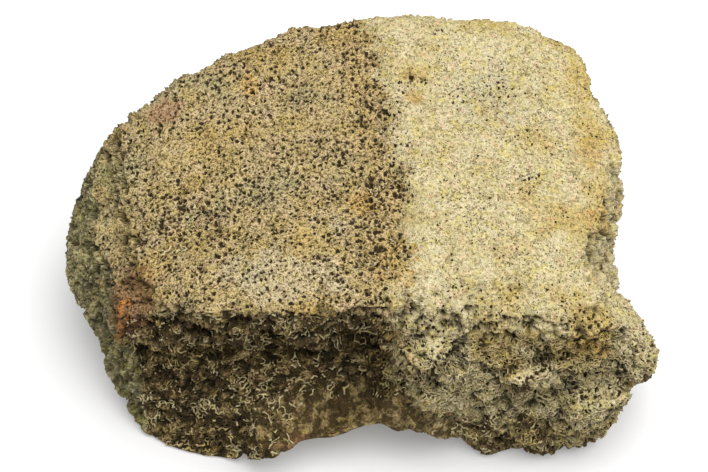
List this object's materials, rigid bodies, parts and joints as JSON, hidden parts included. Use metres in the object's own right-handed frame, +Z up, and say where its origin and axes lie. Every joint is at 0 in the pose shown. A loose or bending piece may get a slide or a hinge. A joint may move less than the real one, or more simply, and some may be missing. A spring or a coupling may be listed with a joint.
{
  "type": "fossil triceratops bone section",
  "caption": "Fossil triceratops bone section: a broken block of spongy bone with flat porous faces meeting at a low ridge, a rough set-back front and an arched underside.",
  "frame": {"origin": "the middle of the bounding box across and back, at the level of the table it stands on", "axes": "+X across to the right as the picture shows it, +Y away from the viewer, +Z up"},
  "size_m": [0.149, 0.1156, 0.0662],
  "materials": {
    "fossil_bone": "matt, dry, open-pored fossil bone, tan brown on the left and cream yellow on the right"
  },
  "bodies": {
    "root": {"bone_section": "fossil_bone"}
  },
  "joints": []
}
